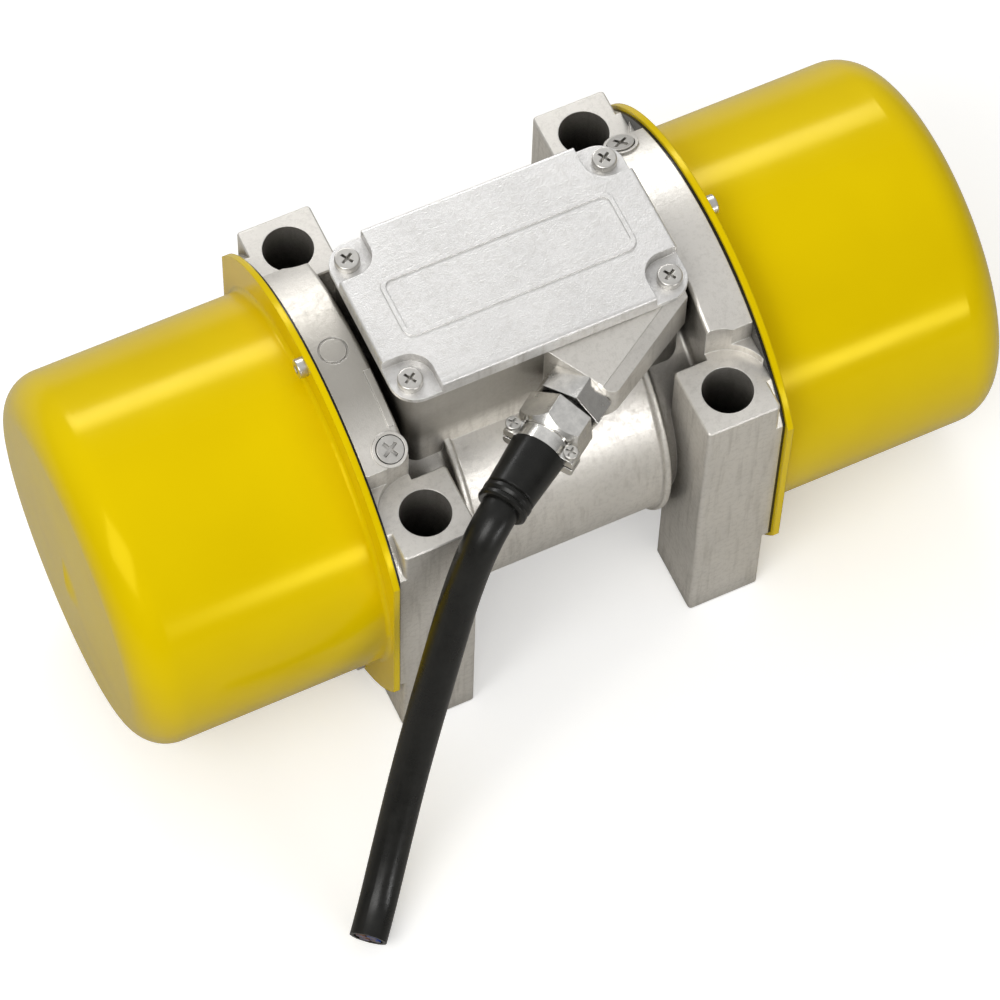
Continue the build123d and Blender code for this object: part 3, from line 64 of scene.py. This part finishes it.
# ---------------------------------------------------------------- a small language for node materials
class Finish:
    """A node material being built up: patterns are sockets, and surface() plugs them into the shader."""

    def __init__(self, name):
        self.material = bpy.data.materials.new(name)
        self.material.use_nodes = True
        self.tree = self.material.node_tree
        self.shader = self.tree.nodes["Principled BSDF"]
        self.place = self.tree.nodes.new("ShaderNodeTexCoord").outputs["Object"]
        self.geometry = self.tree.nodes.new("ShaderNodeNewGeometry")
        self.normal = None

    def add(self, kind, feeds=None, **settings):
        """A new node with its settings, and its inputs fed from sockets or values."""
        node = self.tree.nodes.new(kind)
        for key, value in settings.items():
            setattr(node, key, value)
        for key, value in (feeds or {}).items():
            self.feed(node.inputs[key], value)
        return node

    def feed(self, socket, value):
        if isinstance(value, bpy.types.NodeSocket):
            self.tree.links.new(value, socket)
        else:
            socket.default_value = value

    def math(self, operation, a, b=0.0, clamp=False):
        return self.add("ShaderNodeMath", {0: a, 1: b}, operation=operation, use_clamp=clamp).outputs[0]

    def mix(self, factor, a, b):
        """Colour a where the factor is 0 and colour b where it is 1."""
        node = self.add("ShaderNodeMix", data_type="RGBA", clamp_factor=True)
        for socket, value in ((node.inputs[0], factor), (node.inputs[6], a), (node.inputs[7], b)):
            self.feed(socket, (*value, 1.0) if isinstance(value, tuple) else value)
        return node.outputs[2]

    def spread(self, value, low, high, to_low=0.0, to_high=1.0):
        """Maps low..high of a value on to to_low..to_high, and holds it there outside."""
        feeds = {"Value": value, "From Min": low, "From Max": high, "To Min": to_low, "To Max": to_high}
        return self.add("ShaderNodeMapRange", feeds).outputs[0]

    def noise(self, size, detail=4.0, roughness=0.55, stretch=(1, 1, 1)):
        """Cloudy noise with features of a size in mm, stretched along the axes."""
        scale = tuple(1 / (size * MM * s) for s in stretch)
        place = self.add("ShaderNodeMapping", {"Vector": self.place, "Scale": scale}).outputs[0]
        feeds = {"Vector": place, "Scale": 1.0, "Detail": detail, "Roughness": roughness}
        return self.add("ShaderNodeTexNoise", feeds).outputs["Fac"]

    def axis(self, name, source=None):
        """One coordinate of the object's own place, in metres, or of another vector."""
        return self.add("ShaderNodeSeparateXYZ", {0: source or self.place}).outputs[name]

    def radius(self):
        """Distance from the motor axis, in metres."""
        y = self.axis("Y")
        z = self.math("SUBTRACT", self.axis("Z"), axis_height)
        return self.math("SQRT", self.math("ADD", self.math("MULTIPLY", y, y), self.math("MULTIPLY", z, z)))

    def ripples(self, value, pitch):
        """A wave from 0 to 1 with a pitch in mm along a value in metres."""
        turns = self.math("MULTIPLY", value, 2 * pi / (pitch * MM))
        return self.math("MULTIPLY_ADD", self.math("SINE", turns), 0.5)

    def edges(self, size, low=0.02, high=0.3):
        """1 along outer and inner edges, 0 on flat and gently curved ground."""
        rounded = self.add("ShaderNodeBevel", {"Radius": size * MM}, samples=4).outputs[0]
        feeds = {0: rounded, 1: self.geometry.outputs["Normal"]}
        agree = self.add("ShaderNodeVectorMath", feeds, operation="DOT_PRODUCT").outputs["Value"]
        return self.spread(self.math("SUBTRACT", 1.0, agree), low, high)

    def crevices(self, size):
        """1 in tight corners and gaps, 0 in the open."""
        feeds = {"Distance": size * MM}
        open_air = self.add("ShaderNodeAmbientOcclusion", feeds, samples=4).outputs["AO"]
        return self.math("SUBTRACT", 1.0, open_air)

    def round_edges(self, size):
        """Softens the shading of sharp edges over a size in mm."""
        self.normal = self.add("ShaderNodeBevel", {"Radius": size * MM}, samples=4).outputs[0]

    def bump(self, height, strength, depth):
        """Adds relief from a 0 to 1 height, with a depth in mm."""
        node = self.add("ShaderNodeBump", {"Height": height, "Strength": strength, "Distance": depth * MM})
        if self.normal:
            self.feed(node.inputs["Normal"], self.normal)
        self.normal = node.outputs[0]

    def surface(self, color, roughness, metallic=0.0, **more):
        feeds = {"Base Color": color, "Roughness": roughness, "Metallic": metallic, **more}
        for key, value in feeds.items():
            self.feed(self.shader.inputs[key], (*value, 1.0) if isinstance(value, tuple) else value)
        if self.normal:
            self.feed(self.shader.inputs["Normal"], self.normal)
        return self.material


# ---------------------------------------------------------------- finishes, one function for each slot
def cast_aluminium(name, bright, skin_depth, shade_strength=0.0):
    """Shot-blasted casting: pebbly skin, faint streaks down its sides, painted shade in its corners, bright
    edges.

    Given a shade strength, the casting gets painted shade beyond the left edge of the terminal box near its
    top, and on the box's own sides.
    """
    f = Finish(name)
    f.round_edges(0.45)
    patches = f.noise(26, detail=3)
    grain = f.noise(2.0, detail=6, roughness=0.7)
    streaks = f.noise(2.2, detail=3, stretch=(1, 1, 12))
    upward = f.math("ABSOLUTE", f.axis("Z", f.geometry.outputs["Normal"]))
    streaky = f.math("MULTIPLY", f.spread(upward, 0.9, 0.2), 0.38)
    tone = f.mix(f.spread(patches, 0.35, 0.65), tuple(0.92 * c for c in bright), bright)
    # painted shade: a duller, darker tone at the left end near the box top
    left_end_shade = f.spread(f.axis("X"), box_left + 7.2 * MM, box_left - 0.8 * MM, 0.0, shade_strength)
    crown = f.spread(f.axis("Z"), box_top - 11 * MM, box_top - 5 * MM)
    tone = f.mix(f.math("MULTIPLY", left_end_shade, crown), tone, PAINTED_DULL_SHADE)
    # painted shade: the same darker tone on the sides of the terminal box, below the lid
    behind = f.spread(f.axis("Y"), box_front - 1.5 * MM, box_front + 1.5 * MM)
    above = f.spread(f.axis("Z"), box_top - 30 * MM, box_top - 24 * MM, 0.0, 0.9 * shade_strength)
    wall_shade = f.math("MULTIPLY", f.math("MULTIPLY", behind, above), f.spread(upward, 0.5, 0.2))
    tone = f.mix(wall_shade, tone, PAINTED_DULL_SHADE)
    tone = f.mix(f.math("MULTIPLY", f.spread(grain, 0.48, 0.62), 0.20), tone, GRAIN_SHADE)
    tone = f.mix(f.math("MULTIPLY", f.spread(streaks, 0.5, 0.72), streaky), tone, STREAK_SHADE)
    crevices = f.crevices(CREVICE_REACH)
    # painted shade: darkens corners and gaps found by occlusion, more on side faces than on tops
    crevice_shade = f.math("MULTIPLY", f.spread(crevices, 0.30, 0.95), f.spread(upward, 0.6, 1.0, 0.82, 0.12))
    tone = f.mix(crevice_shade, tone, CREVICE_SHADE)
    # painted shade: the deepest occluded gaps go near black
    tone = f.mix(f.spread(crevices, 0.93, 1.0, 0.0, 0.85), tone, DEEP_GAP_SHADE)
    tone = f.mix(f.math("MULTIPLY", f.edges(0.8), 0.6), tone, BRIGHT_EDGE)
    rough = f.spread(grain, 0.3, 0.7, 0.31, 0.47)
    f.bump(grain, 0.5, skin_depth)
    f.bump(f.noise(0.5, detail=2), 0.25, skin_depth)
    return f.surface(tone, rough, 0.76)


def hood_paint():
    """Gloss enamel over a drawn steel hood: slight orange peel, soft unevenness, a painted highlight along
    the edges, painted shade in its corners.
    """
    f = Finish("gloss_yellow_enamel")
    f.round_edges(0.8)
    uneven = f.noise(45, detail=2)
    tone = f.mix(f.spread(uneven, 0.3, 0.7), (0.765, 0.548, 0.000), (0.805, 0.588, 0.000))
    # painted highlight: lighter yellow along the edges
    tone = f.mix(f.math("MULTIPLY", f.edges(0.9), 0.35), tone, (0.90, 0.72, 0.02))
    # painted shade: darker brownish yellow in corners and gaps, from occlusion
    tone = f.mix(f.math("MULTIPLY", f.spread(f.crevices(5), 0.4, 1.0), 0.6), tone, (0.30, 0.20, 0.0))
    f.bump(f.noise(3.5, detail=0), 0.05, 0.05)
    rough = f.spread(f.noise(20), 0.3, 0.7, 0.16, 0.21)
    sheen = {"Specular Tint": (1.0, 0.82, 0.06)}
    return f.surface(tone, rough, 0.0, **sheen)


def machined(name, tone, rough, pitch, worn=0.5, metallic=0.95):
    """Turned or ground metal: fine rings about the motor axis on its ends and along it on its sides."""
    f = Finish(name)
    f.round_edges(0.4)
    rings = f.ripples(f.radius(), pitch)
    turned = f.ripples(f.axis("X"), pitch)
    facing = f.math("ABSOLUTE", f.axis("X", f.geometry.outputs["Normal"]))
    lines = f.add("ShaderNodeMix", {0: facing, 2: turned, 3: rings}).outputs[0]
    smear = f.noise(9, detail=5)
    dark = tuple(0.62 * c for c in tone)
    color = f.mix(f.spread(smear, 0.35, 0.7), tone, tuple(0.84 * c for c in tone))
    color = f.mix(f.math("MULTIPLY", lines, 0.22), color, dark)
    # painted shade: near black in corners and gaps, from occlusion
    color = f.mix(f.math("MULTIPLY", f.spread(f.crevices(4), 0.4, 1.0), 0.6), color, (0.03, 0.028, 0.024))
    color = f.mix(f.math("MULTIPLY", f.edges(0.5), worn), color, tuple(min(1, 1.25 * c) for c in tone))
    f.bump(lines, 0.25, 0.02)
    return f.surface(color, f.spread(smear, 0.3, 0.7, rough, rough + 0.14), metallic)


def plated(name, tone, rough):
    """Plated small metalwork: fine scratches, cloudy sheen, painted shade in slots and roots."""
    f = Finish(name)
    f.round_edges(0.35)
    cloud = f.noise(3.5, detail=5)
    color = f.mix(f.spread(cloud, 0.35, 0.65), tone, tuple(0.80 * c for c in tone))
    # painted shade: near black in slots and roots, from occlusion
    color = f.mix(f.math("MULTIPLY", f.spread(f.crevices(2.2), 0.5, 1.0), 0.75), color, (0.02, 0.018, 0.014))
    color = f.mix(f.math("MULTIPLY", f.edges(0.4), 0.5), color, (0.98, 0.97, 0.94))
    f.bump(f.noise(0.6, detail=3), 0.2, 0.03)
    return f.surface(color, f.spread(cloud, 0.3, 0.7, rough, rough + 0.12), 1.0)


def rubber(name, tone):
    """Black rubber and cable sheath: satin skin with fine pores, scuffs and a trace of dust."""
    f = Finish(name)
    f.round_edges(0.4)
    scuff = f.noise(7, detail=6, roughness=0.7)
    pores = f.noise(0.45, detail=2)
    color = f.mix(f.spread(scuff, 0.45, 0.75), tone, tuple(1.8 * c for c in tone))
    color = f.mix(f.math("MULTIPLY", f.spread(scuff, 0.68, 0.74), 0.15), color, (0.05, 0.047, 0.04))
    f.bump(pores, 0.25, 0.04)
    return f.surface(color, f.spread(scuff, 0.3, 0.7, 0.24, 0.36), 0.0, **{"Specular IOR Level": 0.34})


def cast_iron():
    """Grey iron casting, oiled, with a grainy skin and turned faces."""
    f = Finish("oiled_cast_iron")
    f.round_edges(0.6)
    grain = f.noise(1.2, detail=6, roughness=0.7)
    rings = f.ripples(f.radius(), 0.9)
    color = f.mix(f.spread(grain, 0.4, 0.7), (0.115, 0.115, 0.12), (0.20, 0.195, 0.19))
    color = f.mix(f.math("MULTIPLY", rings, 0.3), color, (0.28, 0.275, 0.27))
    color = f.mix(f.math("MULTIPLY", f.edges(0.6), 0.6), color, (0.45, 0.44, 0.43))
    f.bump(grain, 0.4, 0.12)
    return f.surface(color, f.spread(grain, 0.3, 0.7, 0.36, 0.55), 0.75)


def insulation():
    """Coloured core insulation: each core or wire has its own colour, with a faint extrusion ripple."""
    f = Finish("core_insulation")
    rough = f.noise(1.6, detail=3)
    pick = f.geometry.outputs["Random Per Island"]
    color = f.mix(f.math("GREATER_THAN", pick, 0.33), (0.18, 0.07, 0.025), (0.02, 0.06, 0.30))
    color = f.mix(f.math("GREATER_THAN", pick, 0.66), color, (0.02, 0.02, 0.022))
    color = f.mix(f.math("MULTIPLY", f.spread(rough, 0.4, 0.7), 0.3), color, (0.25, 0.22, 0.2))
    f.bump(rough, 0.2, 0.05)
    return f.surface(color, f.spread(rough, 0.3, 0.7, 0.3, 0.45))


def laminations():
    """Stacked varnished sheets: a dark line between every two sheets, seen on the sides of the core."""
    f = Finish("varnished_laminations")
    sheets = f.ripples(f.axis("X"), 0.65)
    blotch = f.noise(6, detail=4)
    color = f.mix(f.spread(blotch, 0.35, 0.7), (0.27, 0.265, 0.27), (0.18, 0.16, 0.14))
    color = f.mix(f.spread(sheets, 0.75, 1.0, 0, 0.8), color, (0.04, 0.035, 0.03))
    f.bump(sheets, 0.5, 0.08)
    return f.surface(color, f.spread(blotch, 0.3, 0.7, 0.32, 0.5), 0.8)


def winding():
    """Bundles of enamelled copper wire, laid round the core and soaked in amber varnish."""
    f = Finish("varnished_winding")
    wave = f.math("ADD", f.radius(), f.math("MULTIPLY", f.noise(14, detail=2), 6 * MM))
    strands = f.ripples(wave, 0.9)
    blotch = f.noise(5, detail=4)
    color = f.mix(f.spread(blotch, 0.35, 0.7), (0.58, 0.20, 0.07), (0.36, 0.11, 0.035))
    color = f.mix(f.spread(strands, 0.0, 0.35, 0.75, 0.0), color, (0.05, 0.015, 0.006))
    f.bump(strands, 0.8, 0.35)
    return f.surface(color, 0.3, 0.75, **{"Coat Weight": 0.4, "Coat Roughness": 0.2})


def block_plastic():
    """Black moulded block: matt skin with fine flow marks and slightly worn edges."""
    f = Finish("moulded_block")
    f.round_edges(0.4)
    flow = f.noise(4, detail=5, stretch=(3, 1, 1))
    color = f.mix(f.spread(flow, 0.35, 0.7), (0.018, 0.018, 0.02), (0.035, 0.034, 0.034))
    color = f.mix(f.math("MULTIPLY", f.edges(0.5), 0.4), color, (0.12, 0.12, 0.12))
    f.bump(f.noise(0.5, detail=2), 0.3, 0.05)
    return f.surface(color, f.spread(flow, 0.3, 0.7, 0.42, 0.58))


FINISHES = {
    "cast_aluminium": lambda: cast_aluminium("cast_aluminium_housing", HOUSING_SKIN, 0.12, shade_strength=0.75),
    "hood_paint": hood_paint,
    "cast_iron": cast_iron,
    "weight_steel": lambda: machined("weight_steel_scaled", (0.33, 0.32, 0.31), 0.34, 1.3),
    "machined_steel": lambda: machined("ground_steel", (0.62, 0.62, 0.63), 0.22, 0.7),
    "bearing_steel": lambda: machined("bearing_steel_polished", (0.76, 0.76, 0.77), 0.12, 0.5, worn=0.3),
    "cage_brass": lambda: machined("cage_brass_turned", (0.80, 0.58, 0.24), 0.24, 0.7),
    "terminal_brass": lambda: plated("terminal_brass_plain", (0.80, 0.60, 0.28), 0.22),
    "zinc_screws": lambda: plated("zinc_plate", (0.78, 0.76, 0.72), 0.28),
    "nickel_plate": lambda: plated("bright_nickel_plate", (0.99, 0.975, 0.94), 0.16),
    "black_rubber": lambda: rubber("satin_black_rubber", (0.007, 0.007, 0.006)),
    "core_insulation": insulation,
    "lamination_steel": laminations,
    "winding_copper": winding,
    "cage_aluminium": lambda: machined("rotor_cage_aluminium", (0.72, 0.72, 0.72), 0.34, 0.9, metallic=0.9),
    "block_plastic": block_plastic,
}

made = {}
for node in nodes.values():
    slot = node.data.materials[0].name
    if slot not in made:
        made[slot] = FINISHES[slot]()
    node.data.materials[0] = made[slot]
nodes["terminal_lid"].data.materials[0] = cast_aluminium("cast_aluminium_lid", LID_SKIN, 0.26)


# ---------------------------------------------------------------- studio: floor, backdrop light and camera
def studio_floor():
    """A wide pale floor with a faint unevenness."""
    half = 6.0
    mesh = bpy.data.meshes.new("studio_floor")
    corners = [(-half, -half, 0), (half, -half, 0), (half, half, 0), (-half, half, 0)]
    mesh.from_pydata(corners, [], [(0, 1, 2, 3)])
    floor = bpy.data.objects.new("studio_floor", mesh)
    bpy.context.scene.collection.objects.link(floor)
    f = Finish("pale_floor")
    tone = f.mix(f.noise(400, detail=2), (0.93, 0.93, 0.925), (0.96, 0.96, 0.955))
    seen = f.add("ShaderNodeLightPath").outputs["Is Camera Ray"]
    tone = f.mix(seen, (0.46, 0.45, 0.43), tone)
    glow = f.math("MULTIPLY", seen, 0.30)
    mesh.materials.append(f.surface(tone, 0.85, **{"Emission Color": WHITE, "Emission Strength": glow}))


def sky():
    """Even studio surroundings: bright overhead, greyer towards the horizon."""
    world = bpy.data.worlds.new("studio")
    world.use_nodes = True
    bpy.context.scene.world = world
    tree = world.node_tree
    background = tree.nodes["Background"]
    place = tree.nodes.new("ShaderNodeTexCoord").outputs["Generated"]
    height = tree.nodes.new("ShaderNodeSeparateXYZ")
    ramp = tree.nodes.new("ShaderNodeValToRGB")
    ramp.color_ramp.elements[0].position = 0.0
    ramp.color_ramp.elements[0].color = (0.21, 0.205, 0.195, 1)
    ramp.color_ramp.elements[1].position = 0.85
    ramp.color_ramp.elements[1].color = (0.80, 0.80, 0.80, 1)
    tree.links.new(place, height.inputs[0])
    tree.links.new(height.outputs["Z"], ramp.inputs[0])
    tree.links.new(ramp.outputs[0], background.inputs["Color"])
    background.inputs["Strength"].default_value = 0.75


def softbox(name, place, target, size, power, tone=WHITE):
    """A rectangular area light at a place, facing a target."""
    light = bpy.data.lights.new(name, "AREA")
    light.shape = "RECTANGLE"
    light.size, light.size_y = size
    light.energy = power
    light.color = tone
    lamp = bpy.data.objects.new(name, light)
    bpy.context.scene.collection.objects.link(lamp)
    lamp.location = place
    lamp.rotation_euler = (Vector(target) - Vector(place)).to_track_quat("-Z", "Y").to_euler()


def camera():
    """A long lens from the front left, high above the motor, with a slight roll."""
    azimuth, elevation, roll = radians(-27.13), radians(62.04), radians(2.22)
    distance = 1.769
    back = Vector((sin(azimuth) * cos(elevation), -cos(azimuth) * cos(elevation), sin(elevation)))
    level = Vector((cos(azimuth), sin(azimuth), 0))
    upward = back.cross(level)
    right = level * cos(roll) + upward * sin(roll)
    top = upward * cos(roll) - level * sin(roll)
    lens = bpy.data.cameras.new("view")
    lens.lens = 179.2
    lens.sensor_width = 36
    lens.shift_x = 0.0005
    lens.shift_y = -0.0022
    lens.clip_start = 0.01
    lens.clip_end = 30
    view = bpy.data.objects.new("view", lens)
    bpy.context.scene.collection.objects.link(view)
    turn = Matrix((right, top, back)).transposed().to_4x4()
    view.matrix_world = Matrix.Translation(back * distance) @ turn
    bpy.context.scene.camera = view


studio_floor()
sky()
softbox("key_behind", (0.12, 0.80, 0.66), centre, (0.7, 0.22), 3.2)
softbox("front_left", (-0.85, -0.60, 1.15), centre, (0.9, 0.9), 10.0, (1, 0.99, 0.97))
softbox("front_low", (0.28, -1.08, 0.28), centre, (0.45, 0.16), 2.2)
camera()
bpy.context.scene.view_settings.view_transform = "Standard"
